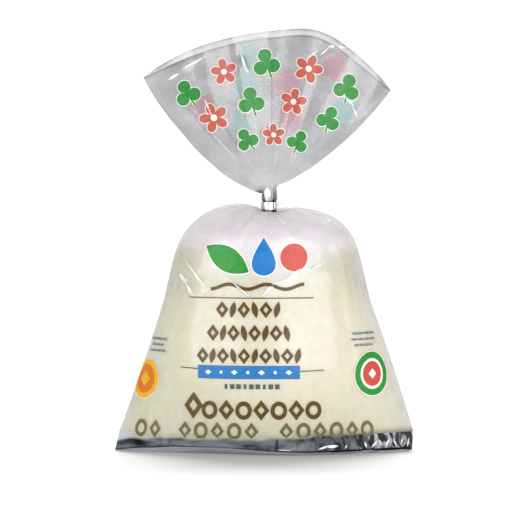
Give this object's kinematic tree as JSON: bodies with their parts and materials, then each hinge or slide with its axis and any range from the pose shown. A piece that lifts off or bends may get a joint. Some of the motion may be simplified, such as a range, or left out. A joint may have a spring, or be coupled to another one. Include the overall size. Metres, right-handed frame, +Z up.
{
  "type": "bagged mozzarella ball",
  "caption": "Ball of fresh mozzarella in milky whey, sealed in a clear film bag that is gathered by a metal clip and spreads above it as a flat fan.",
  "frame": {"origin": "on the floor, under the middle of the part's box", "axes": "+Z up along the bag and its tail, +X to the right across the printed front, +Y from the front to the back; the front faces -Y"},
  "size_m": [0.161, 0.079, 0.2253],
  "materials": {
    "film": "clear polyethylene film over creamy white whey, printed in a few plain colours",
    "aluminium": "bright crimped wire",
    "whey": "milky white liquid",
    "curd": "smooth wet porcelain-white cheese",
    "ink": "satin printing ink in brown, green, coral, blue and yellow"
  },
  "bodies": {
    "root": {"bag": "film", "clip": "aluminium"}
  },
  "joints": []
}
